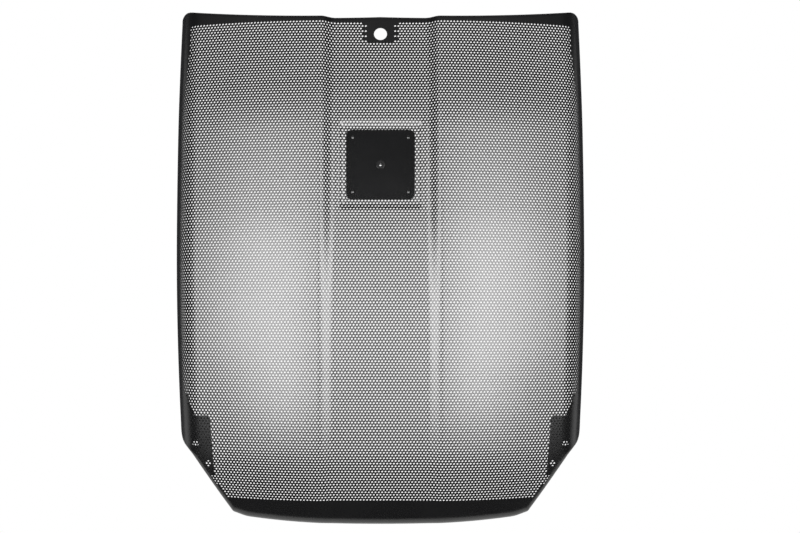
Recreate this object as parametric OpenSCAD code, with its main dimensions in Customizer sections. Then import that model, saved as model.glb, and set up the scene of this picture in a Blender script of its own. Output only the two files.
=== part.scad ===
// Front grille of a vehicle hood: one pressed sheet of perforated steel with a rolled rim,
// a shallow channel down its middle, a latch hole, a badge plate and two corner brackets.
// +X is to the right as seen from the front, +Z is up, and the front faces -Y.

/* [Sheet] */
// Thickness of the perforated sheet
sheet_t = 1.5; // [1:0.1:2]
// Half the width of the flat floor of the middle channel
floor_half = 69; // [60:1:75]
// Half the distance between the two ridges beside the channel
ridge_half = 93; // [90:1:105]
// Radius of the crowned side panels, across the grille
side_radius = 1075; // [900:5:1300]
// Angle at which the side panels leave the ridges, in degrees
ridge_angle = 1.5; // [0:0.1:3]

/* [Blank] */
// Half width of the flat blank where it is widest
blank_half = 345.1; // [340:0.1:350]
// Distance along the sheet from the datum up to the widest place
widest_at = 290; // [250:1:320]
// Radius of the long sides of the blank
long_side_radius = 11830; // [9000:10:15000]
// Height of the blank's top edge at the middle, along the sheet
top_edge = 457; // [455:0.5:470]
// Radius of the top edge beside the ridges, where it rises towards the corners
top_edge_radius = 1400; // [1200:10:2000]
// Height of the blank's bottom edge at the middle, along the sheet
bottom_edge = -364; // [-370:0.5:-355]
// Radius of the bottom edge
bottom_edge_radius = 2380; // [2000:10:3000]

/* [Perforation] */
// Pitch of the openings along a row
opening_pitch = 41; // [41:1:44]
// Rows of openings from the chin to the top
opening_rows = 21; // [18:1:21]
// Part of the perforated field that is open
open_share = 0.33; // [0.25:0.01:0.36]

/* [Latch] */
// Radius of the latch hole
latch_r = 10; // [8:0.5:12]
// Height of the latch hole along the sheet
latch_at = 414; // [405:1:420]

/* [Corner brackets] */
// Thickness of the bracket steel
bracket_t = 2.5; // [2:0.1:3]
// Radius of the bolt holes
bolt_hole_r = 4.5; // [3.3:0.1:5]

/* [Badge plate] */
// Width of the badge plate
plate_w = 104; // [90:1:120]
// Height of the badge plate
plate_h = 108; // [90:1:112]
// Height of the plate's middle along the sheet
plate_at = 206; // [200:1:207]
// Thickness of the badge plate
plate_t = 2; // [1.5:0.1:3]
// Distance between the plate's rivets, both ways
rivet_spacing = 84; // [76:1:86]
// Depth of the shallow seat that the plate lies in
seat_depth = 2.2; // [1:0.1:2.4]

/* [Hidden] */

// Lean of the middle line at each height along the sheet, in degrees, top leaning back
lean_stations = [
    [-420, -27], [-350, -27], [-275, -16], [-225, -7], [-150, -3],
    [140, 9], [262, 9], [330, 13.3], [520, 13.3]
];
// Depth of the middle channel at each height
channel_stations = [[-347, 0.5], [-258, 2.5], [-100, 2.2], [0, 3.2], [130, 6.2], [443, 10]];

// Rim bends: radius, angle and straight flange behind the bend
side_bend = [41, 73, 10];
corner_bend = [12, 75, 6];
bottom_bend = [22, 62, 6];
top_bend = [4, 80, 14];

// The cut lower corners run between these two heights and half widths of the blank
cut_top = [314.8, -213];
cut_low = [231, -345];

// Middle line of the sheet, summed up in short steps
curve_step = 7.5;
curve = [
    for (s = -420, y = 0, z = 0; s <= 520;
         y = y + curve_step * sin(lean(s + curve_step / 2)),
         z = z + curve_step * cos(lean(s + curve_step / 2)),
         s = s + curve_step) [s, y, z]
];
curve_y = [for (c = curve) [c[0], c[1]]];
curve_z = [for (c = curve) [c[0], c[2]]];
// The origin lies midway between the two upper bracket bolts, on the front of the bracket plates
bracket_depth = 59;
upper_bolts_below = 220;
datum = [0, lookup(0, curve_y) + bracket_depth, lookup(0, curve_z) - upper_bolts_below];

function lean(s) = lookup(s, lean_stations);
function clamp(v, low, high) = min(max(v, low), high);
function smooth(t) = t * t * (3 - 2 * t);

// Length of sheet that a rim bend and its flange take up
function bend_length(bend) = bend[0] * bend[1] * PI / 180 + bend[2];

// Draw-in and drop of a point that lies e inside the edge of the blank
function bent(e, bend) =
    let (
        past = max(0, bend_length(bend) - e),
        turn = min(past / bend[0] * 180 / PI, bend[1]),
        straight = max(0, past - bend[0] * bend[1] * PI / 180)
    )
    [
        past - bend[0] * sin(turn) - straight * cos(bend[1]),
        bend[0] * (1 - cos(turn)) + straight * sin(bend[1])
    ];

// Edges of the blank
cut_run = cut_top - cut_low;
cut_normal = [-cut_run[1], cut_run[0]] / norm(cut_run);
function side_u(s) = blank_half - pow(s - widest_at, 2) / (2 * long_side_radius);
function cut_u(s) = cut_low[0] + cut_run[0] * (s - cut_low[1]) / cut_run[1];
function ramp(v, from, to) = smooth(clamp((v - from) / (to - from), 0, 1));
function top_s(u) =
    let (past = abs(u) - ridge_half)
    top_edge + past * past / (2 * (past < 0 ? 3000 : top_edge_radius)) - 18 * ramp(abs(u), 300, 345);
function bottom_s(u) = bottom_edge + u * u / (2 * bottom_edge_radius) + 6 * ramp(abs(u), 200, 232);

// Even blend of values that leans to the one with the largest weight
function leaning(values, weights) =
    let (w = [for (v = weights) pow(v, 6) + 1e-9]) (values * w) / (w * [for (v = w) 1]);

// Movement of a blank point by the rim bends: [across, along, drop]
function rim(a, s) =
    let (
        side = bent(side_u(s) - a, side_bend),
        corner = bent(([a, s] - cut_top) * cut_normal, corner_bend),
        bottom = bent(s - bottom_s(a), bottom_bend),
        top = bent(top_s(a) - s, top_bend),
        along = bottom[0] - top[0],
        corner_draw = max(0, corner[0] - bottom[0] * cut_normal[1]) / -cut_normal[0],
        drops = [side[1], corner[1], bottom[1], top[1]]
    )
    [-leaning([side[0], corner_draw], [side[1], corner[1]]), along, leaning(drops, drops)];

// Shallow seat round the badge plate: a flat floor a little larger than the plate, then a wall
seat_gap = [4, 6.5];
seat_wall = 8;
function seat(a, s) =
    seat_depth * (1 - ramp(a - plate_w / 2 - seat_gap[0], 0, seat_wall))
    * (1 - ramp(abs(s - plate_at) - plate_h / 2 - seat_gap[1], 0, seat_wall));

// The pressed shape without its rim: a is the distance across from the middle
function pressed(a, s) =
    let (
        c = lookup(s, channel_stations),
        width = ridge_half - floor_half,
        rise = smooth(clamp((a - floor_half) / width, 0, 1)),
        turn = ridge_angle * smooth(clamp((a - ridge_half + 3) / 6, 0, 1)),
        phi = turn + max(0, a - ridge_half) / side_radius * 180 / PI,
        x = min(a, ridge_half) + side_radius * (sin(phi) - sin(turn))
            - (width - sqrt(width * width - c * c)) * rise,
        d = side_radius * (cos(turn) - cos(phi)) + c * (1 - rise) + seat(a, s)
    )
    [x, lookup(s, curve_y) + d * cos(lean(s)), lookup(s, curve_z) - d * sin(lean(s))] - datum;

function unit(v) = v / norm(v);

function front_point(a, s) =
    let (
        r = rim(a, s),
        p = a + r[0],
        q = s + r[1],
        across = pressed(p + 0.5, q) - pressed(p - 0.5, q),
        along = pressed(p, q + 0.5) - pressed(p, q - 0.5)
    )
    pressed(p, q) + r[2] * unit(cross(along, across));

// A point of the sheet at a depth behind its front face, for a place [u, s] on the blank
function sheet_point(place, depth) =
    let (
        a = abs(place[0]),
        s = place[1],
        p = front_point(a, s),
        n = unit(cross(front_point(a, s + 0.5) - front_point(a, s - 0.5),
                       front_point(a + 0.5, s) - front_point(a - 0.5, s))),
        q = p + depth * n
    )
    [sign(place[0]) * q[0], q[1], q[2]];

// Rows of openings
field_low = -306;
field_high = 433.5;
row_pitch = (field_high - field_low) / (opening_rows - 0.32);
opening_r = sqrt(open_share * opening_pitch * row_pitch / 2.598);
opening_h = opening_r * sqrt(3) / 2;
function row_s(j) = field_low + opening_h + row_pitch * j;

// Solid margin kept inside the long sides, at each height
margin_stations = [[-170, 44.7], [-118, 30.7], [275, 30.7], [345, 38.3], [385, 43.3]];
cut_margin = 19;

// True where an opening centred on a blank place keeps clear of the rim, the latch and the plate
function open_at(u, s) =
    let (a = abs(u), r = opening_r, h = opening_h)
    side_u(s) - a - r > lookup(s, margin_stations)
    && ([a + r, s] - cut_top) * cut_normal > cut_margin
    && ([a + r / 2, s - h] - cut_top) * cut_normal > cut_margin
    && norm([u, s - latch_at]) > latch_r + r + 4
    && !(a < plate_w / 2 + r && abs(s - plate_at) < plate_h / 2 + h);

function row_centres(j) = [
    for (i = [-9:9])
        let (u = (i + (j % 2) / 2) * opening_pitch)
        if (open_at(u, row_s(j))) u
];

// Places across one rim bend, from the edge of the blank to where the bend starts
bend_steps = 3;
function bend_stops(bend) = [
    0,
    for (i = [0:bend_steps]) bend[2] + i / bend_steps * bend[0] * bend[1] * PI / 180
];
function side_stops(s) =
    cut_u(s) < side_u(s) ? bend_stops(corner_bend) / cut_normal[0] * -1 : bend_stops(side_bend);
function edge_u(s) = min(cut_u(s), side_u(s));

// A line across the blank: stretches of places [u, s], the first and last being the rim
function blank_line(stretches, edge, s) =
    let (
        stops = side_stops(s),
        rim_u = [for (k = [0:bend_steps]) edge - stops[k]],
        fold = edge - stops[bend_steps + 1]
    )
    [
        [for (u = rim_u) -u],
        for (k = [0:len(stretches) - 1]) concat(
            k == 0 ? [-fold] : [],
            stretches[k],
            k == len(stretches) - 1 ? [fold] : []
        ),
        [for (k = [0:bend_steps]) rim_u[bend_steps - k]]
    ];

// Places along a post between two openings: a long one also bends at the channel and the seat
seat_floor = plate_w / 2 + seat_gap[0];
seat_half = seat_floor + seat_wall;
bend_places = seat_half < floor_half - 3
    ? [-ridge_half, -floor_half, -seat_half, -seat_floor, seat_floor, seat_half, floor_half, ridge_half]
    : [-ridge_half, -floor_half, floor_half, ridge_half];
function post_run(from, to) = concat(
    from,
    [for (u = bend_places) if (to - from > 60 && u - from > 4 && to - u > 4) u],
    to
);

// Straight line through a row of openings that are half wide at that height
function row_line(j, lift, half) =
    let (c = row_centres(j), s = row_s(j) + lift, n = len(c))
    [
        for (stretch = blank_line([
            [c[0] - half],
            for (k = [1:n - 1]) post_run(c[k - 1] + half, c[k] - half),
            [c[n - 1] + half]
        ], edge_u(s), s)) [for (u = stretch) [u, s]]
    ];

// Amount by which a rounded corner of the blank shortens a line that lies e inside its edge
function corner_loss(e, r, reach) = e >= r ? 0 : reach * (1 - sqrt(1 - pow(1 - e / r, 2)));

margin_places = [for (u = [-252:36:252]) u];
function top_line(e) =
    let (edge = side_u(top_s(blank_half) - e) - corner_loss(e, 6, 6), s = top_s(edge) - e)
    [for (stretch = blank_line([margin_places], edge, s)) [for (u = stretch) [u, top_s(u) - e]]];
function bottom_line(e) =
    let (edge = cut_u(bottom_s(228) + e) - corner_loss(e, 30, 20), s = bottom_s(edge) + e)
    [
        for (stretch = blank_line([[for (u = margin_places) if (abs(u) < edge - 30) u]], edge, s))
            [for (u = stretch) [u, bottom_s(u) + e]]
    ];

// All lines of the sheet from bottom to top
bottom_stops = bend_stops(bottom_bend);
top_stops = bend_stops(top_bend);
lines = [
    for (k = [0:bend_steps + 1]) bottom_line(bottom_stops[k]),
    for (j = [0:opening_rows - 1]) each [
        row_line(j, -opening_h, opening_r / 2),
        row_line(j, 0, opening_r),
        row_line(j, opening_h, opening_r / 2)
    ],
    for (e = [top_stops[4], top_stops[2], top_stops[1], 5, 0]) top_line(e)
];

function joined(lists) = [for (part = lists) each part];
function running(counts) = [
    for (i = 0, sum = 0; i <= len(counts); sum = sum + (i < len(counts) ? counts[i] : 0), i = i + 1) sum
];

line_places = [for (line = lines) joined(line)];
line_starts = running([for (places = line_places) len(places)]);
place_count = line_starts[len(lines)];
stretch_starts = [
    for (k = [0:len(lines) - 1])
        [for (sum = running([for (stretch = lines[k]) len(stretch)])) line_starts[k] + sum]
];
function stretch_start(k, m) = stretch_starts[k][m];

// Triangles between two runs of places, a below b, whose first places are number a0 and b0
function zipped(a, b, a0, b0, i = 0, j = 0) =
    i == len(a) - 1 && j == len(b) - 1 ? [] :
    j == len(b) - 1 || (i < len(a) - 1 && a[i + 1][0] <= b[j + 1][0])
        ? concat([[a0 + i, b0 + j, a0 + i + 1]], zipped(a, b, a0, b0, i + 1, j))
        : concat([[a0 + i, b0 + j, b0 + j + 1]], zipped(a, b, a0, b0, i, j + 1));

function ladder(n, a0, b0) = [
    for (k = [0:n - 1]) each [[a0 + k, b0 + k, b0 + k + 1], [a0 + k, b0 + k + 1, a0 + k + 1]]
];

rim_n = bend_steps + 1;
function inner_run(k) = [for (i = [rim_n:len(line_places[k]) - rim_n - 1]) line_places[k][i]];

// Front faces between line k and the next: whole, or only the posts between openings
function is_open_strip(k) =
    let (past = k - bend_steps - 2) past >= 0 && past < 3 * opening_rows && past % 3 < 2;
function strip(k) =
    let (a0 = line_starts[k], b0 = line_starts[k + 1], na = len(line_places[k]), nb = len(line_places[k + 1]))
    concat(
        ladder(rim_n, a0, b0),
        is_open_strip(k)
            ? joined([
                  for (m = [1:len(lines[k]) - 2])
                      zipped(lines[k][m], lines[k + 1][m], stretch_start(k, m), stretch_start(k + 1, m))
              ])
            : zipped(inner_run(k), inner_run(k + 1), a0 + rim_n, b0 + rim_n),
        ladder(rim_n, a0 + na - rim_n - 1, b0 + nb - rim_n - 1)
    );

// Walls through the sheet along a closed loop of places
function walls(loop) = [
    for (i = [0:len(loop) - 1])
        let (p = loop[i], q = loop[(i + 1) % len(loop)])
        each [[p, q, q + place_count], [p, q + place_count, p + place_count]]
];

function opening_loop(k, m) =
    let (
        low = stretch_start(k, m + 1),
        mid = stretch_start(k + 1, m + 1),
        high = stretch_start(k + 2, m + 1)
    )
    [mid - 1, high - 1, high, mid, low, low - 1];

last_line = len(lines) - 1;
module perforated_sheet() {
    front = [for (place = joined(line_places)) sheet_point(place, 0)];
    back = [for (place = joined(line_places)) sheet_point(place, sheet_t)];
    faces = joined([for (k = [0:last_line - 1]) strip(k)]);
    outline = concat(
        [for (i = [0:len(line_places[0]) - 1]) i],
        [for (k = [1:last_line - 1]) line_starts[k + 1] - 1],
        [for (i = [0:len(line_places[last_line]) - 1]) place_count - 1 - i],
        [for (k = [1:last_line - 1]) line_starts[last_line - k]]
    );
    loops = joined([
        for (j = [0:opening_rows - 1])
            let (k = bend_steps + 2 + 3 * j)
            [for (m = [1:len(lines[k]) - 3]) opening_loop(k, m)]
    ]);
    polyhedron(
        concat(front, back),
        concat(
            faces,
            [for (f = faces) [f[2] + place_count, f[1] + place_count, f[0] + place_count]],
            walls(outline),
            joined([for (loop = loops) walls(loop)])
        )
    );
}

// Frame on the flat floor of the channel, with Z out of the front and Y up along the sheet
module on_floor(s) {
    rise = front_point(0, s + 5) - front_point(0, s - 5);
    translate(front_point(0, s))
        rotate([90 - atan2(rise[1], rise[2]), 0, 0])
            children();
}

module at_rivets() {
    for (x = [-1, 1], y = [-1, 1])
        translate([x * rivet_spacing / 2, y * rivet_spacing / 2, 0])
            children();
}

rivet_r = 2;
rivet_play = 0.05;
insert_r = 4.5;
insert_bore_r = 2.5;

// Holes through the sheet or the plate for the rivets and the insert
module plate_holes() {
    at_rivets()
        cylinder(r = rivet_r + rivet_play, h = 20, center = true, $fn = 24);
    cylinder(r = insert_r + rivet_play, h = 20, center = true, $fn = 32);
}

module grille_panel() {
    color([0.06, 0.065, 0.065])
        difference() {
            perforated_sheet();
            on_floor(latch_at)
                cylinder(r = latch_r, h = 12, center = true, $fn = 64);
            on_floor(plate_at)
                plate_holes();
        }
}

module rounded_rectangle(w, h, r) {
    square([w - 2 * r, h], center = true);
    square([w, h - 2 * r], center = true);
    for (x = [-1, 1], y = [-1, 1])
        translate([x * (w / 2 - r), y * (h / 2 - r)])
            circle(r = r, $fn = 48);
}

module badge_plate() {
    color([0.11, 0.115, 0.115])
        on_floor(plate_at)
            difference() {
                linear_extrude(plate_t)
                    rounded_rectangle(plate_w, plate_h, 8.5);
                plate_holes();
            }
}

// One rivet standing on the plate: domed head, shank and the upset tail behind the sheet
module rivet() {
    head_r = 4;
    head_h = 2;
    dome_r = (head_r * head_r + head_h * head_h) / (2 * head_h);
    stack = plate_t + sheet_t;
    translate([0, 0, plate_t])
        intersection() {
            translate([0, 0, head_h - dome_r])
                sphere(r = dome_r, $fn = 48);
            cylinder(r = head_r, h = head_h, $fn = 48);
        }
    translate([0, 0, -sheet_t - 1])
        cylinder(r = rivet_r, h = stack + 1.5, $fn = 24);
    translate([0, 0, -sheet_t - 1.6])
        cylinder(r = 3.2, h = 1.6, $fn = 32);
}

module badge_rivets() {
    color([0.16, 0.165, 0.165])
        on_floor(plate_at)
            at_rivets()
                rivet();
}

// Flanged insert pressed through the plate and the sheet, threaded for a badge screw
module badge_insert() {
    color([0.14, 0.145, 0.145])
        on_floor(plate_at)
            difference() {
                union() {
                    translate([0, 0, plate_t])
                        cylinder(r = 6.5, h = 1.2, $fn = 48);
                    translate([0, 0, -sheet_t - 9])
                        cylinder(r = insert_r, h = plate_t + sheet_t + 9.5, $fn = 32);
                    translate([0, 0, -sheet_t - 3.5])
                        cylinder(r = 6, h = 3.5, $fn = 48);
                }
                translate([0, 0, -20])
                    cylinder(r = insert_bore_r, h = 40, $fn = 32);
            }
}

// Bracket plate behind the right lower corner, in the plane of the bolts
bracket_outline = [
    [302, 84], [301.8, 46], [300, 34], [297, 14], [291, -2], [262, -48], [253, -48],
    [253.9, -32], [256.2, -6], [259.2, 36.4], [263.8, 43.2], [283.5, 43.2], [294, 74]
];
bolt_places = [[281.3, 0], [261.2, -29.5]];

// Lines of the sheet that the bracket's weld flange lies along
weld_lines = [for (k = [0:last_line]) let (s = line_places[k][0][1]) if (s > -182 && s < -135) k];

// Weld flange: a strip of steel that lies on the inside of the panel's side flange
module weld_flange() {
    n = len(weld_lines);
    strip_points = [
        for (depth = [sheet_t, sheet_t + bracket_t], k = weld_lines, i = [1, 2])
            sheet_point(line_places[k][len(line_places[k]) - i], depth)
    ];
    side = [
        for (i = [0:n - 2])
            let (a = 2 * i, b = a + 1, c = a + 2, d = a + 3)
            each [[b, d, c], [b, c, a]]
    ];
    half = 2 * n;
    rim_loop = concat([for (i = [0:n - 1]) 2 * i], [for (i = [0:n - 1]) 2 * (n - 1 - i) + 1]);
    polyhedron(
        strip_points,
        concat(
            side,
            [for (f = side) [f[2] + half, f[1] + half, f[0] + half]],
            [
                for (i = [0:len(rim_loop) - 1])
                    let (p = rim_loop[i], q = rim_loop[(i + 1) % len(rim_loop)])
                    each [[p, q, q + half], [p, q + half, p + half]]
            ]
        )
    );
}

module bracket() {
    weld_flange();
    rotate([90, 0, 0])
        translate([0, 0, -bracket_t])
            linear_extrude(bracket_t)
                difference() {
                    polygon(bracket_outline);
                    for (place = bolt_places)
                        translate(place)
                            circle(r = bolt_hole_r, $fn = 48);
                }
}

module bracket_right() {
    color([0.09, 0.095, 0.1])
        bracket();
}

module bracket_left() {
    color([0.09, 0.095, 0.1])
        mirror([1, 0, 0])
            bracket();
}

grille_panel();
badge_plate();
badge_rivets();
badge_insert();
bracket_left();
bracket_right();
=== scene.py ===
# %% [markdown]
# A tall front grille, pressed from one sheet of perforated steel and painted satin black.
# In the workshop the sheet is punched flat, then pressed over a crowned form, then painted,
# and last of all the small parts are riveted on. The lesson writes the pressing as a rule
# first, and then lets it carry each hole of the flat sheet to its place.
# The frame below is the measured model: every piece here has to sit on it.

import math

import bpy
import numpy as np
from mathutils import Matrix, Vector
from mathutils.geometry import delaunay_2d_cdt


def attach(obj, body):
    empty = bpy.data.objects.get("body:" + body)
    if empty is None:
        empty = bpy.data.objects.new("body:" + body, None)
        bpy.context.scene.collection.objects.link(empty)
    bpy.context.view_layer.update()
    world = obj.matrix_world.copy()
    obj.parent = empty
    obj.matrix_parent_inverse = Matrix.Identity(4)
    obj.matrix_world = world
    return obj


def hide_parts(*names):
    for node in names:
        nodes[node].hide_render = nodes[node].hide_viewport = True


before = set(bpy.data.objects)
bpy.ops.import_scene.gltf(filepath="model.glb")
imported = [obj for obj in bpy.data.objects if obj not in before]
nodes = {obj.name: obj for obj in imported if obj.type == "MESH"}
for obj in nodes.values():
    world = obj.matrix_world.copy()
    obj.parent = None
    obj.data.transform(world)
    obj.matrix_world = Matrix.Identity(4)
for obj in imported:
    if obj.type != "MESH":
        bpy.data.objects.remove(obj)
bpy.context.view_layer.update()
MM = 0.001
print("nodes:", ", ".join(sorted(nodes)))

# %% [markdown]
# The camera stands level, two and a half metres in front of the grille, with a long lens.
# A long lens keeps the sides of the sheet nearly parallel, as a catalogue picture does.
# The small shift puts the middle of the grille a little left of the picture's middle.

# %% Camera
CAMERA_BACK = 2.559
CAMERA_HEIGHT = 0.2698
FILM_WIDTH = 36
LENS_LENGTH = 75.72
SIDE_SHIFT = 0.0244

camera = bpy.data.objects.new("camera", bpy.data.cameras.new("camera"))
bpy.context.scene.collection.objects.link(camera)
camera.location = (0, -CAMERA_BACK, CAMERA_HEIGHT)
camera.rotation_euler = (math.pi / 2, 0, 0)
camera.data.sensor_width = FILM_WIDTH
camera.data.lens = LENS_LENGTH
camera.data.shift_x = SIDE_SHIFT
bpy.context.scene.camera = camera
print("camera", tuple(round(v, 3) for v in camera.location), "lens", camera.data.lens)

# %% [markdown]
# The pressed shape. A place on the flat blank is u across and s up, in millimetres. The
# press bends the middle line, crowns the two side panels, sinks a shallow channel between
# them, and folds the edges back. In the channel it sinks a seat for the badge plate.
# Subdividing a hand-made cage could give such a shape, but a rule is better here, because
# twenty thousand holes have to follow it.
# First the stations along the height: how far the sheet leans, and how deep its channel is.

# %% Stations of the pressed shape
# Each station is a place s and the sheet's lean there, in degrees.
LEAN = ((-420, -27), (-350, -27), (-275, -16), (-225, -7), (-150, -3),
        (140, 9), (262, 9), (330, 13.3), (520, 13.3))
# Each station is a place s and the channel's depth there.
CHANNEL = ((-347, 0.5), (-258, 2.5), (-100, 2.2), (0, 3.2), (130, 6.2), (443, 10))
# The middle line passes through this y and z at s = 0.
MIDDLE_Y = -59
MIDDLE_Z = 220
# The channel's walls rise from its floor to the ridge on each side.
FLOOR_HALF = 69
RIDGE_HALF = 93
# Each side panel leaves its ridge at an angle, which builds up over a soft stretch, and
# then follows one large radius.
RIDGE_ANGLE = math.radians(1.5)
RIDGE_SOFT = 3
SIDE_RADIUS = 1075
# The seat's floor reaches this far across and along from the middle of the plate.
PLATE_S = 206
SEAT_FLOOR = (56, 60.5)
SEAT_WALL = 8
SEAT_DEPTH = 2.2
SHEET = 1.5


def at(stations, s):
    """Value at s, in a straight line between two stations."""
    places, values = zip(*stations)
    return np.interp(s, places, values)


middle_s = np.arange(LEAN[0][0], LEAN[-1][0] + 1.0)
slope = np.radians(at(LEAN, middle_s[:-1] + 0.5))
middle_y = np.append(0, np.cumsum(np.sin(slope)))
middle_z = np.append(0, np.cumsum(np.cos(slope)))
middle_y += MIDDLE_Y - np.interp(0, middle_s, middle_y)
middle_z += MIDDLE_Z - np.interp(0, middle_s, middle_z)
print("middle line", len(middle_s), "points, top at", round(float(middle_z[-1])), "mm")

# %% [markdown]
# The edges of the blank, and the bend along each: its radius, its angle and the straight
# flange behind it. The side bend is large and soft, the other three are tighter. Each edge
# is a gentle sweep of a very large radius, and the lower corners are cut off straight.

# %% Edges and bends of the blank
SIDE_BEND = (41, 73, 10)
CORNER_BEND = (12, 75, 6)
BOTTOM_BEND = (22, 62, 6)
TOP_BEND = (4, 80, 14)
# The side edge: half the blank's greatest width, the place s of that width, and the sweep.
BLANK_HALF = 345.1
WIDEST_S = 290
SIDE_SWEEP = 11830
# The top edge: its place at the ridges, its sweep between them and beyond, and how far it
# droops at its ends.
TOP_S = 457
TOP_SWEEPS = (3000, 1400)
TOP_DROOP = 18
DROOP_REACH = (300, 345)
# The bottom edge: its place in the middle, its sweep, and how far it lifts at its ends.
BOTTOM_S = -364
BOTTOM_SWEEP = 2380
BOTTOM_LIFT = 6
LIFT_REACH = (200, 232)
# The cut corner's edge runs from the upper one of these places to the lower one.
CUT_TOP = np.array([314.8, -213.0])
CUT_LOW = np.array([231.0, -345.0])
cut_run = CUT_TOP - CUT_LOW
CUT_IN = np.array([-cut_run[1], cut_run[0]]) / np.hypot(*cut_run)


def eased(v, start, end):
    """0 up to the start, 1 from the end on, and a soft step between them."""
    t = np.clip((v - start) / (end - start), 0, 1)
    return t * t * (3 - 2 * t)


def side_u(s):
    return BLANK_HALF - (s - WIDEST_S) ** 2 / (2 * SIDE_SWEEP)


def cut_u(s):
    return CUT_LOW[0] + cut_run[0] * (s - CUT_LOW[1]) / cut_run[1]


def cut_inside(a, s):
    return (a - CUT_TOP[0]) * CUT_IN[0] + (s - CUT_TOP[1]) * CUT_IN[1]


def top_s(u):
    past = np.abs(u) - RIDGE_HALF
    sweep = past ** 2 / (2 * np.where(past < 0, *TOP_SWEEPS))
    return TOP_S + sweep - TOP_DROOP * eased(np.abs(u), *DROOP_REACH)


def bottom_s(u):
    return BOTTOM_S + u ** 2 / (2 * BOTTOM_SWEEP) + BOTTOM_LIFT * eased(np.abs(u), *LIFT_REACH)


print("blank at its widest", 2 * BLANK_HALF, "mm")

# %% [markdown]
# Bending takes sheet away from the width and turns it into depth. The first helper gives
# both for one bend. Where two bends meet at a corner the deeper one leads, so the corner
# flows from one flange to the next without a crease.

# %% Bend
# The higher the power, the more the deeper bend leads.
LEAD_POWER = 6
NEARLY_ZERO = 1e-9


def bent(inside, bend):
    """How far the bend draws a place in, and how far it drops it behind the front."""
    radius, angle, flange = bend
    full = math.radians(angle)
    past = np.maximum(0, radius * full + flange - inside)
    turn = np.minimum(past / radius, full)
    straight = np.maximum(0, past - radius * full)
    draw = past - radius * np.sin(turn) - straight * math.cos(full)
    drop = radius * (1 - np.cos(turn)) + straight * math.sin(full)
    return draw, drop


def leaning(values, weights):
    """Mean of the values, led by the one of the greatest weight."""
    lead = np.array(weights) ** LEAD_POWER + NEARLY_ZERO
    return (np.array(values) * lead).sum(0) / lead.sum(0)


def rim(a, s):
    """Where a place of the blank comes to lie on the crowned sheet, and its drop behind it."""
    side = bent(side_u(s) - a, SIDE_BEND)
    corner = bent(cut_inside(a, s), CORNER_BEND)
    bottom = bent(s - bottom_s(a), BOTTOM_BEND)
    top = bent(top_s(a) - s, TOP_BEND)
    corner_draw = np.maximum(0, corner[0] - bottom[0] * CUT_IN[1]) / -CUT_IN[0]
    drops = [side[1], corner[1], bottom[1], top[1]]
    inward = leaning([side[0], corner_draw], [side[1], corner[1]])
    return a - inward, s + bottom[0] - top[0], leaning(drops, drops)


print("the side edge drops by", round(float(bent(0.0, SIDE_BEND)[1]), 1), "mm")

# %% [markdown]
# The press itself. The floor of the channel is sunk between two ridges, the seat is sunk
# a little more, and each side panel falls back from its ridge on one large radius. A place
# in a folded edge then drops straight back from that surface, along the surface's normal,
# and a place on the back of the sheet lies its thickness behind the front.

# %% Press
# Slopes are taken between two places this far to either side.
PROBE = 0.5


def seat(a, s):
    """Depth of the shallow seat round the badge plate."""
    across = eased(a, SEAT_FLOOR[0], SEAT_FLOOR[0] + SEAT_WALL)
    along = eased(np.abs(s - PLATE_S), SEAT_FLOOR[1], SEAT_FLOOR[1] + SEAT_WALL)
    return SEAT_DEPTH * (1 - across) * (1 - along)


def crowned(a, s):
    """Place in millimetres on the crowned sheet, before its edges are folded."""
    c = at(CHANNEL, s)
    width = RIDGE_HALF - FLOOR_HALF
    rise = eased(a, FLOOR_HALF, RIDGE_HALF)
    turn = RIDGE_ANGLE * eased(a, RIDGE_HALF - RIDGE_SOFT, RIDGE_HALF + RIDGE_SOFT)
    phi = turn + np.maximum(0, a - RIDGE_HALF) / SIDE_RADIUS
    x = np.minimum(a, RIDGE_HALF) + SIDE_RADIUS * (np.sin(phi) - np.sin(turn))
    x = x - (width - np.sqrt(width ** 2 - c ** 2)) * rise
    d = SIDE_RADIUS * (np.cos(turn) - np.cos(phi)) + c * (1 - rise) + seat(a, s)
    lean = np.radians(at(LEAN, s))
    y = np.interp(s, middle_s, middle_y) + d * np.cos(lean)
    z = np.interp(s, middle_s, middle_z) - d * np.sin(lean)
    return np.stack([x, y, z], axis=-1)


def crossed(along, across):
    n = np.cross(along, across)
    return n / np.linalg.norm(n, axis=-1, keepdims=True)


def front(a, s):
    """Place in millimetres of the front face, for the right half of the blank."""
    p, q, drop = rim(a, s)
    along = crowned(p, q + PROBE) - crowned(p, q - PROBE)
    across = crowned(p + PROBE, q) - crowned(p - PROBE, q)
    return crowned(p, q) + drop[..., None] * crossed(along, across)


def pressed(u, s, depth=0.0):
    """Place in metres, on the front face or a depth behind it."""
    a = np.abs(u)
    along = front(a, s + PROBE) - front(a, s - PROBE)
    across = front(a + PROBE, s) - front(a - PROBE, s)
    place = front(a, s) + depth * crossed(along, across)
    place[..., 0] *= np.sign(u)
    return place * MM


print("front of the plate's seat at", pressed(np.zeros(1), np.array([float(PLATE_S)]))[0].round(4))

# %% [markdown]
# Paint needs a little arithmetic on noise patterns. A small class wraps a node's output,
# so that a plus or a times sign between two of them adds a Math node, and one method adds
# any other node. The alternative, naming every node and link by hand, hides the idea.

# %% Wires and finishes
class Wire:
    """An output in a shader tree. Arithmetic on it adds Math nodes."""

    def __init__(self, finish, socket):
        self.finish = finish
        self.socket = socket

    def __add__(self, other):
        return self.finish.maths("ADD", self, other)

    def __sub__(self, other):
        return self.finish.maths("SUBTRACT", self, other)

    def __rsub__(self, other):
        return self.finish.maths("SUBTRACT", other, self)

    def __mul__(self, other):
        return self.finish.maths("MULTIPLY", self, other)

    __radd__ = __add__
    __rmul__ = __mul__


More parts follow.
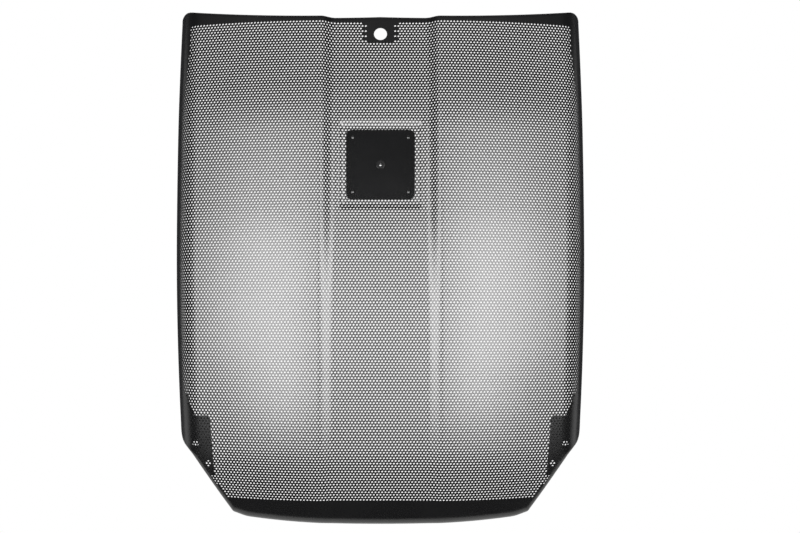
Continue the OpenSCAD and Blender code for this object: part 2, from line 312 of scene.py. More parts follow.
class Finish:
    """A material under construction."""

    def __init__(self, name):
        self.material = bpy.data.materials.new(name)
        self.material.use_nodes = True
        self.tree = self.material.node_tree
        self.shader = self.tree.nodes["Principled BSDF"]
        self.place = self.node("TexCoord", {}, output="Object")

    def join(self, value, socket):
        if isinstance(value, Wire):
            self.tree.links.new(value.socket, socket)
        else:
            socket.default_value = value

    def node(self, kind, inputs, output=0, **settings):
        made = self.tree.nodes.new("ShaderNode" + kind)
        for name, value in settings.items():
            setattr(made, name, value)
        for name, value in inputs.items():
            self.join(value, made.inputs[name])
        return Wire(self, made.outputs[output])

    def maths(self, operation, first, second):
        return self.node("Math", {0: first, 1: second}, operation=operation)

    def noise(self, scale, detail=2.0):
        return self.node("TexNoise", {"Vector": self.place, "Scale": scale, "Detail": detail})

    def between(self, amount, low, high):
        return self.node("Mix", {0: amount, "A": low, "B": high}, output=2, data_type="RGBA")

    def done(self, **inputs):
        for name, value in inputs.items():
            self.join(value, self.shader.inputs[name.replace("_", " ")])
        return self.material


print("finish helpers ready")

# %% [markdown]
# Satin black paint on pressed steel. Close up it has the fine orange peel of sprayed paint
# and slow changes of gloss where the coat is thicker. Its colour is never quite black:
# handling leaves faint greyer patches. The peel is a bump, and the gloss goes to roughness.

# %% Paints
# Noise scales are in waves to the metre, and the peel's height is in metres.
PATCH_SCALE = 9.0
SPECK_SCALE = 900.0
PEEL_HEIGHT = 0.0002


def satin_black(name, dark, pale, base_roughness, peel_scale, peel):
    """Black between two shades, with a roughness to start from and its orange peel."""
    finish = Finish(name)
    patches = finish.noise(PATCH_SCALE, 3.0)
    specks = finish.noise(SPECK_SCALE, 1.0)
    cover = patches * 0.7 + specks * 0.3
    colour = finish.between(cover, (*dark, 1), (*pale, 1))
    roughness = base_roughness + 0.10 * patches - 0.04 * specks
    fine = finish.noise(peel_scale, 2.0)
    normal = finish.node("Bump", {"Height": fine, "Strength": peel, "Distance": PEEL_HEIGHT})
    return finish.done(Base_Color=colour, Roughness=roughness, Normal=normal)


panel_paint = satin_black(
    "satin black on pressed sheet",
    dark=(0.0012, 0.0012, 0.0013), pale=(0.003, 0.003, 0.0031),
    base_roughness=0.25, peel_scale=1400.0, peel=0.2,
)
plate_paint = satin_black(
    "satin black on flat plate",
    dark=(0.0022, 0.0022, 0.0023), pale=(0.0044, 0.0045, 0.0046),
    base_roughness=0.09, peel_scale=1900.0, peel=0.12,
)
bracket_paint = satin_black(
    "black on bracket steel",
    dark=(0.0012, 0.0012, 0.0013), pale=(0.003, 0.003, 0.0031),
    base_roughness=0.60, peel_scale=900.0, peel=0.3,
)
rivet_paint = satin_black(
    "black on rivet heads",
    dark=(0.003, 0.003, 0.0031), pale=(0.007, 0.007, 0.007),
    base_roughness=0.22, peel_scale=2400.0, peel=0.15,
)
insert_steel = satin_black(
    "blackened insert steel",
    dark=(0.003, 0.003, 0.0031), pale=(0.006, 0.006, 0.006),
    base_roughness=0.14, peel_scale=2000.0, peel=0.15,
)
print("paints:", len(bpy.data.materials))

# %% [markdown]
# Where the holes are. The punched pattern is staggered: rows 4.18 mm apart, holes 5 mm
# apart in a row, and every other row moved on by half a hole. The pattern stops short of
# the folded edges, and leaves plain steel round the latch hole, each rivet and the insert.

# %% Lattice of holes
PITCH = 5.0
ROW_PITCH = 4.18
FIRST_ROW = -304.3
ROWS = 177
# Columns run this many to either side of the middle one.
COLUMNS = 67
HOLE_R = 1.525
# Each station is a place s and the plain steel's width along the side edge there.
MARGIN = ((-170, 44.7), (-118, 30.7), (275, 30.7), (345, 38.3), (385, 43.3))
CUT_MARGIN = 17.5
LATCH_S = 414
LATCH_R = 10
# Beside the latch hole, from this height up, holes keep off by one of two distances: the
# smaller one in every other row.
LATCH_LAND_S = 400
LATCH_LANDS = (22, 28)
RIVET_AT = 42
RIVET_LAND = 6.8
INSERT_LAND = 9.2

row, column = np.meshgrid(np.arange(ROWS), np.arange(-COLUMNS, COLUMNS + 1), indexing="ij")
hole_u = (column + row % 2 / 2) * PITCH
hole_s = FIRST_ROW + ROW_PITCH * row
hole_a = np.abs(hole_u)
punched = side_u(hole_s) - hole_a > at(MARGIN, hole_s) + HOLE_R
punched &= cut_inside(hole_a, hole_s) > CUT_MARGIN + HOLE_R
punched &= (hole_s < LATCH_LAND_S) | (hole_a > np.where(row % 2, *LATCH_LANDS))
punched &= np.hypot(hole_a - RIVET_AT, np.abs(hole_s - PLATE_S) - RIVET_AT) > RIVET_LAND
punched &= np.hypot(hole_u, hole_s - PLATE_S) > INSERT_LAND
print("holes:", int(punched.sum()))

# %% [markdown]
# One cell of the pattern is a slanted rectangle with an eight-sided hole. Such cells fill
# the plane, corner to corner, so the sheet needs no boolean cut: the hole is simply where
# the cell has no faces. Eight sides are enough for a 3 mm hole, and keep the count of
# triangles down to forty for each hole, both faces and the wall included.

# %% The cell with its hole
QUARTER = PITCH / 4
HALF_ROW = ROW_PITCH / 2
CELL = np.array([
    (3 * QUARTER, -HALF_ROW), (QUARTER, HALF_ROW), (-3 * QUARTER, HALF_ROW), (-QUARTER, -HALF_ROW),
])
CELL_SIDES = len(CELL)
HOLE_SIDES = 2 * CELL_SIDES


def mesh_object(name, points, faces):
    mesh = bpy.data.meshes.new(name)
    mesh.from_pydata([tuple(p) for p in points], [], [tuple(f) for f in faces])
    made = bpy.data.objects.new(name, mesh)
    bpy.context.scene.collection.objects.link(made)
    return made


def hole_cell():
    """Flat cell whose hole has the area of the round one. Each side faces two of the hole's."""
    step = 360 / HOLE_SIDES
    turns = np.radians(step / 2 + step * np.arange(HOLE_SIDES))
    reach = HOLE_R * math.sqrt(math.pi / (HOLE_SIDES * math.sin(2 * math.pi / HOLE_SIDES) / 2))
    hole = reach * np.stack([np.cos(turns), np.sin(turns)], axis=1)
    points = np.vstack([CELL, hole])
    faces = []
    for k in range(CELL_SIDES):
        here, there = k, (k + 1) % CELL_SIDES
        first, second, third = (CELL_SIDES + (2 * k + n - 1) % HOLE_SIDES for n in range(3))
        faces += [(here, there, third), (here, third, second), (here, second, first)]
    return mesh_object("hole cell", [(x * MM, y * MM, 0) for x, y in points], faces)


cell = hole_cell()
print("cell:", len(cell.data.polygons), "triangles on one face")

# %% [markdown]
# Geometry Nodes put the cell at every place of the lattice, as a punching press does. The
# places come in as loose points, one for each hole. Instances are realised and their
# shared corners welded, so each strip becomes one sheet. The same tree sets the rivets.

# %% Geometry Nodes: a form at every point
def stamping_tree():
    tree = bpy.data.node_groups.new("form at every point", "GeometryNodeTree")
    inputs = (
        ("Points", "Geometry"),
        ("Form", "Object"),
        ("Weld distance", "Float"),
        ("Paint", "Material"),
    )
    for name, kind in inputs:
        tree.interface.new_socket(name, in_out="INPUT", socket_type="NodeSocket" + kind)
    tree.interface.new_socket("Sheet", in_out="OUTPUT", socket_type="NodeSocketGeometry")
    entry = tree.nodes.new("NodeGroupInput")
    end = tree.nodes.new("NodeGroupOutput")
    form = tree.nodes.new("GeometryNodeObjectInfo")
    stamp = tree.nodes.new("GeometryNodeInstanceOnPoints")
    realised = tree.nodes.new("GeometryNodeRealizeInstances")
    weld = tree.nodes.new("GeometryNodeMergeByDistance")
    paint = tree.nodes.new("GeometryNodeSetMaterial")
    links = (
        (entry.outputs["Points"], stamp.inputs["Points"]),
        (entry.outputs["Form"], form.inputs["Object"]),
        (form.outputs["Geometry"], stamp.inputs["Instance"]),
        (stamp.outputs["Instances"], realised.inputs["Geometry"]),
        (realised.outputs["Geometry"], weld.inputs["Geometry"]),
        (entry.outputs["Weld distance"], weld.inputs["Distance"]),
        (weld.outputs["Geometry"], paint.inputs["Geometry"]),
        (entry.outputs["Paint"], paint.inputs["Material"]),
        (paint.outputs["Geometry"], end.inputs["Sheet"]),
    )
    for start, stop in links:
        tree.links.new(start, stop)
    return tree


STAMPING = stamping_tree()


def stamped(form, points, weld, paint):
    """Plain mesh of the form at every point."""
    carrier = mesh_object("places", points, [])
    modifier = carrier.modifiers.new("stamping", "NODES")
    modifier.node_group = STAMPING
    named = {item.name: item.identifier for item in STAMPING.interface.items_tree}
    modifier[named["Form"]] = form
    modifier[named["Weld distance"]] = weld
    modifier[named["Paint"]] = paint
    ready = carrier.evaluated_get(bpy.context.evaluated_depsgraph_get())
    mesh = bpy.data.meshes.new_from_object(ready)
    carrier.modifiers.clear()
    bpy.data.objects.remove(carrier)
    return mesh


print("stamping tree:", len(STAMPING.nodes), "nodes")

# %% [markdown]
# From a flat sheet to a solid one. Each flat triangle is pressed twice, once for the front
# face and once 1.5 mm behind it, and every open edge, whether it is the outline or a
# hole, gets a wall. A Solidify modifier would do nearly the same, but it averages normals,
# and the strips would then part from each other by a hair along their backs.

# %% Give the flat sheet its shape and thickness
def triangle_mesh(name, points, triangles, paint, crease=50):
    mesh = bpy.data.meshes.new(name)
    mesh.vertices.add(len(points))
    mesh.vertices.foreach_set("co", np.asarray(points, dtype=np.float32).ravel())
    mesh.loops.add(3 * len(triangles))
    mesh.loops.foreach_set("vertex_index", np.asarray(triangles, dtype=np.int32).ravel())
    mesh.polygons.add(len(triangles))
    mesh.polygons.foreach_set("loop_start", np.arange(0, 3 * len(triangles), 3, dtype=np.int32))
    mesh.update(calc_edges=True)
    mesh.shade_smooth()
    mesh.set_sharp_from_angle(angle=math.radians(crease))
    mesh.materials.append(paint)
    made = bpy.data.objects.new(name, mesh)
    bpy.context.scene.collection.objects.link(made)
    return made


def open_edges(triangles):
    """Directed edges that only one triangle uses."""
    edges = np.vstack([triangles[:, [0, 1]], triangles[:, [1, 2]], triangles[:, [2, 0]]])
    # Both ends of an edge go into one whole number, which is the same from either side.
    code = np.sort(edges, axis=1) @ np.array([1 << 32, 1])
    _, where, uses = np.unique(code, return_index=True, return_counts=True)
    return edges[where[uses == 1]]


def thickened(count, triangles):
    """Triangles of the solid whose front is given; its back points follow the front ones."""
    p, q = open_edges(triangles).T
    walls = [np.stack([q, p, p + count], axis=1), np.stack([q, p + count, q + count], axis=1)]
    return np.vstack([triangles, triangles[:, ::-1] + count, *walls])


def pressed_piece(name, places, triangles):
    u, s = places.T
    points = np.vstack([pressed(u, s), pressed(u, s, SHEET)])
    made = triangle_mesh(name, points, thickened(len(places), triangles), panel_paint)
    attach(made, "root")
    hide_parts("grille_panel")
    return made


print("pressing helpers ready")

# %% [markdown]
# The field of holes, in six strips from chin to top. As one strip it would be a mesh of
# eight hundred thousand triangles, too heavy to pass on, and strips of thirty rows stay
# light enough to be opened one by one.

# %% Punch and press the strips
STRIPS = 6
# Corners of two cells nearer than this, in metres, become one.
CELL_WELD = 0.0001
strip_faces = 0
for number, rows in enumerate(np.array_split(np.arange(ROWS), STRIPS)):
    keep = punched[rows]
    centres = np.stack([hole_u[rows][keep], hole_s[rows][keep], np.zeros(keep.sum())], axis=1)
    flat = stamped(cell, centres * MM, CELL_WELD, panel_paint)
    spots = np.empty(3 * len(flat.vertices), dtype=np.float32)
    flat.vertices.foreach_get("co", spots)
    places = spots.reshape(-1, 3)[:, :2] / MM
    corners = np.empty(len(flat.loops), dtype=np.int32)
    flat.loops.foreach_get("vertex_index", corners)
    strip = pressed_piece(f"perforated_strip_{number + 1}", places, corners.reshape(-1, 3))
    strip_faces += len(strip.data.polygons)
    bpy.data.meshes.remove(flat)
bpy.data.objects.remove(cell)
print("strips:", STRIPS, "with", strip_faces, "triangles in all")

# %% [markdown]
# The plain border. It lies between the ragged edge of the pattern and the outline of the
# blank, and it carries all the folded edges, so it needs points close together across
# each bend. A Delaunay triangulation joins them and keeps to both outlines exactly.
# First the outline of the right half, from the bottom's middle to the top's middle.

# %% Outline of the blank
# Each rounded corner has a height, a width and a number of points. The low one is measured
# up from the bottom edge at this place u.
LOW_CORNER = (30, 20, 11)
HIGH_CORNER = (6, 6, 5)
LOW_CORNER_U = 228.0
# Numbers of points along the three long edges of one half.
SIDE_POINTS = 200
BOTTOM_POINTS = 56
TOP_POINTS = 86


def corner_loss(e, height, width):
    """Width that the rounded corner takes away, at a distance e from the end of the blank."""
    return np.where(e >= height, 0, width * (1 - np.sqrt(1 - np.clip(1 - e / height, 0, 1) ** 2)))


def half_outline():
    height, width, count = LOW_CORNER
    e = height * (1 - np.cos(np.linspace(0, math.pi / 2, count)))
    low_u = cut_u(bottom_s(LOW_CORNER_U) + e) - corner_loss(e, height, width)
    low = np.stack([low_u, bottom_s(low_u) + e], axis=1)
    height, width, count = HIGH_CORNER
    e = height * (1 - np.cos(np.linspace(math.pi / 2, 0, count)))
    high_u = side_u(top_s(BLANK_HALF) - e) - corner_loss(e, height, width)
    high = np.stack([high_u, top_s(high_u) - e], axis=1)
    s = np.linspace(low[-1, 1], high[0, 1], SIDE_POINTS)[1:-1]
    side = np.stack([np.minimum(cut_u(s), side_u(s)), s], axis=1)
    u = np.linspace(0, low[0, 0], BOTTOM_POINTS)[:-1]
    bottom = np.stack([u, bottom_s(u)], axis=1)
    u = np.linspace(high[-1, 0], 0, TOP_POINTS)[1:]
    top = np.stack([u, top_s(u)], axis=1)
    return np.vstack([bottom, low, side, high, top])


right = half_outline()
outline = np.vstack([right, (right * [-1, 1])[-2:0:-1]])
print("outline:", len(outline), "points")

# %% [markdown]
# Next, the ragged inner edge: each side of a punched cell with no punched cell beyond it.
# The round holes for the latch, the rivets and the insert are rings in the border too.

# %% Edge of the pattern and round holes
# A round hole's radius, and the number of points on its ring.
INSERT_HOLE = (4.55, 24)
RIVET_HOLE = (2.05, 16)
LATCH_HOLE = (LATCH_R, 64)


def has_hole(r, c):
    inside = 0 <= r < ROWS and abs(c) <= COLUMNS
    return inside and punched[r, c + COLUMNS]


def ragged_edge():
    pairs = []
    for r, c in zip(row[punched], column[punched]):
        odd = r % 2
        beyond = ((r, c + 1), (r + 1, c - 1 + odd), (r, c - 1), (r - 1, c + odd))
        centre = np.array([(c + odd / 2) * PITCH, FIRST_ROW + ROW_PITCH * r])
        for k, cell_beyond in enumerate(beyond):
            if not has_hole(*cell_beyond):
                pairs.append((centre + CELL[k], centre + CELL[(k + 1) % CELL_SIDES]))
    return pairs


def in_pattern(u, s):
    r = np.floor((s - FIRST_ROW) / ROW_PITCH + 0.5).astype(int)
    above = s - FIRST_ROW - r * ROW_PITCH
    c = np.round((u + above * PITCH / 2 / ROW_PITCH) / PITCH - r % 2 / 2).astype(int)
    known = (r >= 0) & (r < ROWS) & (np.abs(c) <= COLUMNS)
    return known & punched[np.clip(r, 0, ROWS - 1), np.clip(c, -COLUMNS, COLUMNS) + COLUMNS]


rivet_places = [(x, y) for x in (-RIVET_AT, RIVET_AT) for y in (-RIVET_AT, RIVET_AT)]
plate_holes = [(0, 0, *INSERT_HOLE)] + [(x, y, *RIVET_HOLE) for x, y in rivet_places]
round_holes = [(0, LATCH_S, *LATCH_HOLE)] + [(x, PLATE_S + y, r, n) for x, y, r, n in plate_holes]


def ring(x, y, r, n):
    turn = 2 * math.pi * np.arange(n) / n
    return np.stack([x + r * np.cos(turn), y + r * np.sin(turn)], axis=1)


def outside(middles, holes):
    """True for each middle of a triangle that lies in none of the round holes."""
    keep = np.ones(len(middles), dtype=bool)
    for x, y, r, n in holes:
        keep &= np.hypot(middles[:, 0] - x, middles[:, 1] - y) > r * math.cos(math.pi / n)
    return keep


edge_pairs = ragged_edge()
print("ragged edge:", len(edge_pairs), "sides, round holes:", len(round_holes))

# %% [markdown]
# Then loose points for the bends: rows that run beside each edge, a millimetre apart in
# the tight top bend and three in the wide side bend, and a five millimetre grid elsewhere.
# A point is dropped where it would crowd another one or fall among the holes.

# %% Points for the bends
# Where rows of points run along the side edge, and how far they run along the cut, with
# the step between two points.
SIDE_REACH = (-330, 440)
CUT_REACH = (-20, 175, 4.0)
# Distances from each edge at which a row of points runs beside it.
SIDE_ROWS = (3.3, 6.6, *np.arange(10, 64, 2.6))
CUT_ROWS = (3, *np.arange(6, 22.5, 1.57))
BOTTOM_ROWS = (3, *np.arange(6, 30.5, 2.38))
TOP_ROWS = (4.7, 9.4, *(14 + 0.8 * np.arange(8)), 22)
# The grid's step, its reach across, and its lowest and highest places.
GRID = 5.0
GRID_U = 345
GRID_S = (-360, 480)
# A loose point keeps this far from the outline and the rings, from the cells, and from
# other points.
EDGE_GAP = 1.2
CELL_GAP = 0.9
POINT_GAP = 0.75


def beside_edges():
    rows_beside = []
    s = np.arange(*SIDE_REACH, GRID)
    for e in SIDE_ROWS:
        rows_beside.append(np.stack([side_u(s) - e, s], axis=1))
    t = np.arange(*CUT_REACH)[:, None]
    down = -cut_run / np.hypot(*cut_run)
    for e in CUT_ROWS:
        rows_beside.append(CUT_TOP + t * down + e * CUT_IN)
    u = np.arange(0, GRID_U, GRID)
    for e in BOTTOM_ROWS:
        rows_beside.append(np.stack([u, bottom_s(u) + e], axis=1))
    for e in TOP_ROWS:
        rows_beside.append(np.stack([u, top_s(u) - e], axis=1))
    return np.vstack(rows_beside)


def inside_by(a, s):
    sides = (side_u(s) - a, cut_inside(a, s), s - bottom_s(a), top_s(a) - s)
    return np.min(sides, axis=0)


def loose_points():
    grid_u, grid_s = np.meshgrid(np.arange(0, GRID_U, GRID), np.arange(*GRID_S, GRID))
    grid = np.stack([grid_u.ravel(), grid_s.ravel()], axis=1)
    half = np.vstack([beside_edges(), grid])
    half = half[inside_by(half[:, 0], half[:, 1]) > EDGE_GAP]
    for du in (CELL_GAP, -CELL_GAP):
        for ds in (CELL_GAP, -CELL_GAP):
            half = half[~in_pattern(half[:, 0] + du, half[:, 1] + ds)]
    for x, y, r, _ in round_holes:
        half = half[np.hypot(half[:, 0] - x, half[:, 1] - y) > r + EDGE_GAP]
    off_middle = half[:, 0] > 0
    return np.vstack([half, (half * [-1, 1])[off_middle]])


def apart(fixed, loose, gap):
    """The loose points that keep a gap from the fixed ones and from each other."""
    taken = {}
    for p in fixed:
        taken.setdefault((int(p[0] // gap), int(p[1] // gap)), []).append(p)
    kept = []
    for p in loose:
        i, j = int(p[0] // gap), int(p[1] // gap)
        squares = ((i + di, j + dj) for di in (-1, 0, 1) for dj in (-1, 0, 1))
        near = (q for square in squares for q in taken.get(square, ()))
        if all((p[0] - q[0]) ** 2 + (p[1] - q[1]) ** 2 > gap ** 2 for q in near):
            taken.setdefault((i, j), []).append(p)
            kept.append(p)
    return kept


print("points beside the edges:", len(beside_edges()))

# %% [markdown]
# Last, the triangulation. The ragged edge, the rings and the outline are fixed edges in
# it. Triangles that fall among the punched cells or in a round hole are left out.

# %% Triangulate and press the border
# Corners that agree to this many digits are one point, and so are points this near.
SAME_DIGITS = 2
TOUCHING = 1e-5


def border():
    fixed = []
    number_of = {}
    edges = []

    def number(p):
        key = (round(float(p[0]), SAME_DIGITS), round(float(p[1]), SAME_DIGITS))
        if key not in number_of:
            number_of[key] = len(fixed)
            fixed.append((float(p[0]), float(p[1])))
        return number_of[key]

    loops = [outline] + [ring(*hole) for hole in round_holes]
    for loop in loops:
        marks = [number(p) for p in loop]
        edges += list(zip(marks, marks[1:] + marks[:1]))
    for p, q in edge_pairs:
        edges.append((number(p), number(q)))
    points = fixed + [tuple(p) for p in apart(fixed, loose_points(), POINT_GAP)]
    made = delaunay_2d_cdt([Vector(p) for p in points], edges, [], 1, TOUCHING)
    places = np.array([tuple(p) for p in made[0]])
    triangles = np.array(made[2])
    a, b, c = (places[triangles[:, k]] for k in range(3))
    middle = (a + b + c) / 3
    keep = ~in_pattern(middle[:, 0], middle[:, 1]) & outside(middle, round_holes)
    area = (b - a)[:, 0] * (c - a)[:, 1] - (b - a)[:, 1] * (c - a)[:, 0]
    triangles[area < 0] = triangles[area < 0][:, ::-1]
    return pressed_piece("folded_border", places, triangles[keep])


folded_border = border()
print("border:", len(folded_border.data.polygons), "triangles")

# %% [markdown]
# The badge plate is a flat steel plate with round corners, bare because the badge is gone.
# Its edge is slightly rounded, so that it catches a line of light. Rings of the same
# outline, each a little smaller and higher, give that rounding without a bevel tool.
# Everything on the plate is built lying flat, and then stood on the floor of the seat.

# %% Frame on the seat's floor
# The plate is straight, so its lean is taken between two places this far up and down.
RISE_PROBE = 5.0


def floor_frame(s):
    """Z points out of the front, Y up along the sheet."""
    middle = np.zeros(1)
    centre = pressed(middle, np.array([float(s)]))[0]
    rise = front(middle, np.array([s + RISE_PROBE]))[0] - front(middle, np.array([s - RISE_PROBE]))[0]
    up = Vector(rise).normalized()
    out = Vector((1, 0, 0)).cross(up)
    turn = Matrix((Vector((1, 0, 0)), up, out)).transposed().to_4x4()
    return Matrix.Translation(centre) @ turn


on_plate = floor_frame(PLATE_S)


def finished(made, replaced):
    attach(made, "root")
    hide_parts(replaced)
    print(made.name, len(made.data.polygons), "faces")


print("plate stands at", tuple(round(v, 4) for v in on_plate.translation))

# %% Outline of the badge plate
# Width, height and thickness, then the radius of the corners.
PLATE = (104, 108, 2)
PLATE_CORNER = 8.5
# The back edge is broken, and the front edge is rounded off in a few turns.
BROKEN_EDGE = 0.3
ROUNDED_EDGE = 0.5
EDGE_TURNS = (0.52, 1.05, math.pi / 2)
# The front face starts this far in from the plate's side.
FACE_INSET = 0.8


def rounded_outline(w, h, r, steps=8):
    points = []
    for quarter, (x, y) in enumerate(((1, 1), (-1, 1), (-1, -1), (1, -1))):
        for n in range(steps + 1):
            turn = math.radians(90 * (quarter + n / steps))
            points.append((x * (w / 2 - r) + r * math.cos(turn), y * (h / 2 - r) + r * math.sin(turn)))
    return points


def plate_rims():
    """Rings of the plate's outline, from the back face up to the front one."""
    w, h, thick = PLATE
    levels = [(0, BROKEN_EDGE), (BROKEN_EDGE, 0), (thick - ROUNDED_EDGE, 0)]
    for turn in EDGE_TURNS:
        rise = ROUNDED_EDGE * math.sin(turn)
        inset = ROUNDED_EDGE - ROUNDED_EDGE * math.cos(turn)
        levels.append((thick - ROUNDED_EDGE + rise, inset))
    levels.append((thick, FACE_INSET))
    rims = []
    for z, inset in levels:
        outer = rounded_outline(w - 2 * inset, h - 2 * inset, PLATE_CORNER - inset)
        rims.append([(x, y, z) for x, y in outer])
    return rims


print("plate:", len(plate_rims()), "rims of", len(plate_rims()[0]), "points")

# %% [markdown]
# Walls join one rim of the plate to the next. Each flat face is a triangulation that
# leaves the holes for the rivets and the insert open, and a bore joins the two rings of
# each hole, so the plate is one closed body with real holes.

# %% Badge plate
def wall(first, second, count):
    """Triangles between two rings of the same number of points."""
    triangles = []
    for k in range(count):
        m = (k + 1) % count
        triangles += [(first + k, first + m, second + m), (first + k, second + m, second + k)]
    return triangles


def face_with_holes(rim, rings):
    """Flat triangles inside the rim and outside the rings; the rim's points come first."""
    flat = []
    edges = []
    for loop in (rim, *rings):
        start, count = len(flat), len(loop)
        flat += [(p[0], p[1]) for p in loop]
        edges += [(start + k, start + (k + 1) % count) for k in range(count)]
    made = delaunay_2d_cdt([Vector(p) for p in flat], edges, [], 1, TOUCHING)
    found = np.array(made[2])
    return found[outside(np.array(flat)[found].mean(1), plate_holes)]


def badge_plate():
    rims = plate_rims()
    rings = [ring(*hole) for hole in plate_holes]
    n = len(rims[0])
    points = [p for rim in rims for p in rim]
    sides = []
    for level in range(len(rims) - 1):
        sides += wall(level * n, (level + 1) * n, n)

    def flat_face(start, z):
        """Triangles of the flat face inside the rim that starts there; adds its rings."""
        found = face_with_holes(points[start:start + n], rings)
        number = list(range(start, start + n))
        number += range(len(points), len(points) + sum(len(loop) for loop in rings))
        points.extend((x, y, z) for loop in rings for x, y in loop)
        return np.array(number)[found]

    front_rim = len(points) - n
    back_ring = len(points)
    back_face = flat_face(0, 0)[:, ::-1]
    front_ring = len(points)
    front_face = flat_face(front_rim, PLATE[2])
    bores = []
    for loop in rings:
        bores += [corners[::-1] for corners in wall(back_ring, front_ring, len(loop))]
        back_ring += len(loop)
        front_ring += len(loop)
    placed = [on_plate @ (Vector(p) * MM) for p in points]
    triangles = np.vstack([sides, back_face, front_face, bores])
    return triangle_mesh("bare_badge_plate", placed, triangles, plate_paint, crease=40)


finished(badge_plate(), "badge_plate")

# %% [markdown]
# Turned parts. A rivet and the insert are each one outline spun about an axis. The rivet's
# head is a low dome with a small flat land round it, its tail a pressed button behind the
# sheet. The insert is a flanged nut: bored through, with a collar against the back.

# %% Spin an outline
def spun(name, outline_rz, sides, closed):
    """Closed mesh of an outline of (radius, height) that runs with the part on its left."""
    points = []
    rows_at = []
    for r, z in outline_rz:
        if r == 0:
            rows_at.append([len(points)] * sides)
            points.append((0, 0, z * MM))
            continue
        rows_at.append([len(points) + k for k in range(sides)])
        for k in range(sides):
            turn = 2 * math.pi * k / sides
            points.append((r * math.cos(turn) * MM, r * math.sin(turn) * MM, z * MM))
    pairs = list(zip(rows_at, rows_at[1:]))
    if closed:
        pairs.append((rows_at[-1], rows_at[0]))
    faces = []
    for low, high in pairs:
        for k in range(sides):
            m = (k + 1) % sides
            corners = []
            for v in (low[k], low[m], high[m], high[k]):
                if v not in corners:
                    corners.append(v)
            faces.append(corners)
    return mesh_object(name, points, faces)


def dome(r, base, rise, steps):
    """Outline of a low dome, from its foot to its top."""
    ball = (r * r + rise * rise) / (2 * rise)
    full = math.asin(r / ball)
    outline_rz = []
    for k in range(steps):
        turn = full * (1 - k / steps)
        outline_rz.append((ball * math.sin(turn), base + ball * math.cos(turn) - ball + rise))
    return outline_rz + [(0, base + rise)]


print("spinning helpers ready")

# %% Forms of the rivet and the insert
# Every point is a radius and a height. Height 0 is the sheet's front.
BACK = -SHEET
FACE = PLATE[2]
RIVET_TAIL = [(0, -3.1), (2.4, -3.1), (2.9, -3.0), (3.2, -2.7), (3.2, -1.6), (3.1, BACK)]
RIVET_SHANK = [(2, BACK), (2, FACE)]
RIVET_HEAD = [(3.8, FACE), (4, 2.15), *dome(3.85, 2.3, 1.7, 7)]
INSERT_BARREL = [(2.5, -10.5), (4.1, -10.5), (4.5, -10.1), (4.5, -5)]
INSERT_COLLAR = [(5.7, -5), (6, -4.7), (6, BACK), (4.5, BACK)]
INSERT_FLANGE = [(4.5, FACE), (6.3, FACE), (6.5, 2.2), (6.5, 2.9), (6.2, 3.2), (3.1, 3.2), (2.5, 2.6)]
rivet_form = spun("rivet form", RIVET_TAIL + RIVET_SHANK + RIVET_HEAD, sides=32, closed=False)
insert_form = spun("insert form", INSERT_BARREL + INSERT_COLLAR + INSERT_FLANGE, sides=40, closed=True)
print("rivet form", len(rivet_form.data.vertices), "points; insert form", len(insert_form.data.vertices))

# %% [markdown]
# The rivets and the insert use the same stamping tree as the holes did: a form, and the
# places where it stands. The result is turned to lie on the plate, and becomes plain mesh.

# %% Rivets and insert
# Points of a form are only welded where they are in one place.
PART_WELD = 0.000001
# Edges sharper than this many degrees stay crisp.
PART_CREASE = 38


def turned_parts(name, form, places, paint, replaced):
    mesh = stamped(form, [(x * MM, y * MM, 0) for x, y in places], PART_WELD, paint)
    mesh.name = name
    mesh.transform(on_plate)
    mesh.shade_smooth()
    mesh.set_sharp_from_angle(angle=math.radians(PART_CREASE))
    made = bpy.data.objects.new(name, mesh)
    bpy.context.scene.collection.objects.link(made)
    bpy.data.objects.remove(form)
    finished(made, replaced)


turned_parts("domed_rivets", rivet_form, rivet_places, rivet_paint, "badge_rivets")
turned_parts("flanged_insert", insert_form, [(0, 0)], insert_steel, "badge_insert")

# %% [markdown]
# The two corner brackets are flat steel with crisp cut edges. Their measured solids are
# already right, so they stay and only get their paint.

# %% Brackets
for name in ("bracket_left", "bracket_right"):
    bracket = nodes[name]
    bracket.data.materials.clear()
    bracket.data.materials.append(bracket_paint)
    print(name, "painted,", len(bracket.data.polygons), "faces")

# %% [markdown]
# Light. Soft lights stand at the camera's two sides: on each side a tall strong one, and
# beyond it a shorter and weaker one. Their images in the satin paint are the pale glow on
# the side panels, which fades outwards, upwards and downwards as it does in a studio. The
# channel between the panels mirrors the dark camera side. A weak light from above and one
# at each side draw the rolled edges.

# %% Lights
def softbox(name, place, aim, width, height, power):
    light = bpy.data.lights.new(name, "AREA")
    light.shape = "RECTANGLE"
    light.size = width
    light.size_y = height
    light.energy = power
    made = bpy.data.objects.new(name, light)
    made.location = place
    made.rotation_euler = (Vector(aim) - Vector(place)).to_track_quat("-Z", "Y").to_euler()
    bpy.context.scene.collection.objects.link(made)


# The front lights stand at this y, in front of the grille, and shine straight back.
FRONT_Y = -2.3
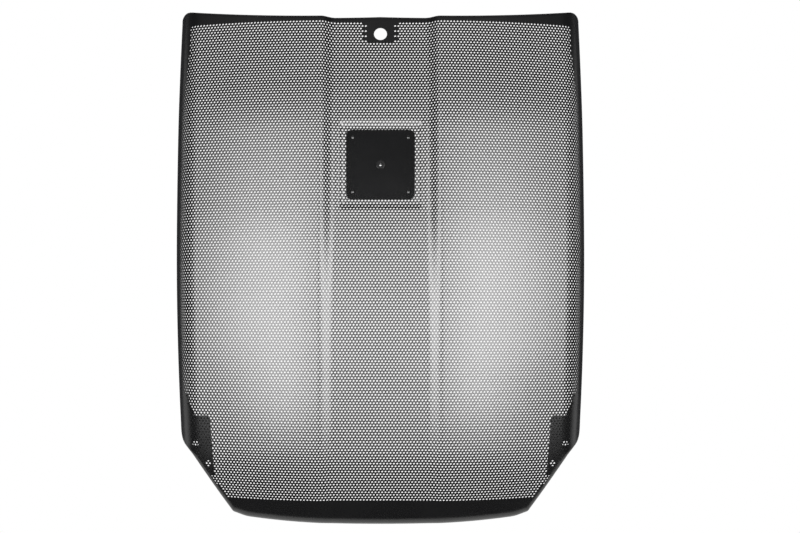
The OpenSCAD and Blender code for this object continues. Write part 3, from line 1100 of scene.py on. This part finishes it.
# Each front light: its distance to the side, its height, its two sizes and its power.
FRONT_LIGHTS = {
    "front light": (0.645, 0.35, 0.61, 1.90, 56),
    "outer front light": (1.165, 0.61, 0.43, 1.38, 24),
}
for side in (-1, 1):
    for name, (x, z, width, height, power) in FRONT_LIGHTS.items():
        softbox(f"{name} {side}", (side * x, FRONT_Y, z), (side * x, 0, z), width, height, power)
    place, aim = (side * 1.9, 0.2, 0.3), (side * 0.3, 0, 0.3)
    softbox(f"side light {side}", place, aim, width=0.9, height=1.6, power=5)
softbox("top light", (0, -0.3, 2.1), (0, 0, 0.4), width=1.6, height=0.5, power=2)

# %% [markdown]
# Floor and ground. The photograph's ground is plain white, so the camera sees a white
# world, while the world lights the grille only faintly. The floor is pale and gives a
# little light of its own, so that it doesn't fall grey. It starts just in front of the
# grille, because the folded chin would mirror more of it and lose its black.

# %% Floor and ground
FLOOR_Z = -0.75
FLOOR_X = 3
FLOOR_Y = (-0.2, 3)
FLOOR_SHADES = ((0.80, 0.80, 0.79, 1), (0.84, 0.84, 0.83, 1))
FLOOR_GLOW = 0.45
FAINT_LIGHT = (0.08, 0.08, 0.085, 1)
WHITE = (1, 1, 1, 1)

near, far = FLOOR_Y
floor_corners = ((-FLOOR_X, near), (FLOOR_X, near), (FLOOR_X, far), (-FLOOR_X, far))
floor = mesh_object("floor", [(x, y, FLOOR_Z) for x, y in floor_corners], [(0, 1, 2, 3)])
floor_finish = Finish("pale floor")
floor.data.materials.append(floor_finish.done(
    Base_Color=floor_finish.between(floor_finish.noise(3.0), *FLOOR_SHADES),
    Roughness=0.9,
    Emission_Color=(1, 1, 0.99, 1),
    Emission_Strength=FLOOR_GLOW,
))

world = bpy.data.worlds.new("white ground")
bpy.context.scene.world = world
world.use_nodes = True
ground = world.node_tree
sky = ground.nodes["Background"]
seen = ground.nodes.new("ShaderNodeLightPath")
mix = ground.nodes.new("ShaderNodeMix")
mix.data_type = "RGBA"
mix.inputs["A"].default_value = FAINT_LIGHT
mix.inputs["B"].default_value = WHITE
ground.links.new(seen.outputs["Is Camera Ray"], mix.inputs[0])
ground.links.new(mix.outputs[2], sky.inputs["Color"])
bpy.context.scene.view_settings.view_transform = "Standard"
print("floor", floor.name, "and world", world.name)
